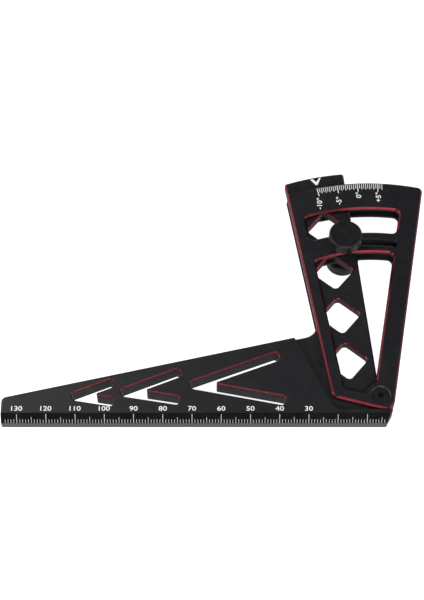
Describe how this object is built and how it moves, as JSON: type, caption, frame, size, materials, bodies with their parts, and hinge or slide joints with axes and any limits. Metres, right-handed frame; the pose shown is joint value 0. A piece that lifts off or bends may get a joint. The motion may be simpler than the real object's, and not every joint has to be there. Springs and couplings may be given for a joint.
{
  "type": "bevel angle gauge",
  "caption": "Hand-held bevel and camber angle gauge: graduated stock with a fixed pointer arm, and a pivoting frame with a degree scale locked by knurled knobs",
  "frame": {"origin": "centre of the whole gauge's footprint in X and Y, at the lowest point of the rear knob in Z", "axes": "+X along the rule from its far end to its scale zero, +Y from the datum edge up the arm, +Z out of the graduated front face; the pivot and knob axes are parallel to Z"},
  "size_m": [0.1504, 0.1024, 0.0202],
  "materials": {
    "anodised_stock": "matt black anodised aluminium with red edge chamfers",
    "anodised_frame": "matt black anodised aluminium with red edge chamfers",
    "anodised_knob": "satin black anodised aluminium, knurled rim",
    "black_screw": "black oxide steel",
    "steel_stud": "turned steel",
    "steel_washer": "dark satin steel"
  },
  "bodies": {
    "stock": {"stock": "anodised_stock", "clamp_stud": "steel_stud"},
    "swing_frame": {"swing_frame": "anodised_frame", "pivot_screw": "black_screw", "pivot_sleeve": "black_screw"},
    "front_washer": {"front_washer": "steel_washer"},
    "front_knob": {"front_knob": "anodised_knob"},
    "rear_washer": {"rear_washer": "steel_washer"},
    "rear_knob": {"rear_knob": "anodised_knob"}
  },
  "joints": [
    {"name": "frame_swing", "type": "hinge", "parent": "stock", "child": "swing_frame", "pos_m": [0.05519, -0.04204, 0.0101], "axis": [0, 0, 1], "range_deg": [0, 16]},
    {"name": "front_washer_slide", "type": "slide", "parent": "stock", "child": "front_washer", "axis": [0, 0, 1], "range_m": [0, 0.0005]},
    {"name": "front_knob_turn", "type": "hinge", "parent": "front_washer", "child": "front_knob", "pos_m": [0.04528, 0.01916, 0.0166], "axis": [0, 0, 1], "range_deg": [0, 360]},
    {"name": "rear_washer_slide", "type": "slide", "parent": "stock", "child": "rear_washer", "axis": [0, 0, -1], "range_m": [0, 0.0005]},
    {"name": "rear_knob_turn", "type": "hinge", "parent": "rear_washer", "child": "rear_knob", "pos_m": [0.04528, 0.01916, 0.0036], "axis": [0, 0, -1], "range_deg": [0, 360]}
  ],
  "couplings": [
    {"joint": "front_knob_turn", "follows": "front_washer_slide", "rad_per_m": 12566},
    {"joint": "rear_knob_turn", "follows": "rear_washer_slide", "rad_per_m": 12566}
  ]
}
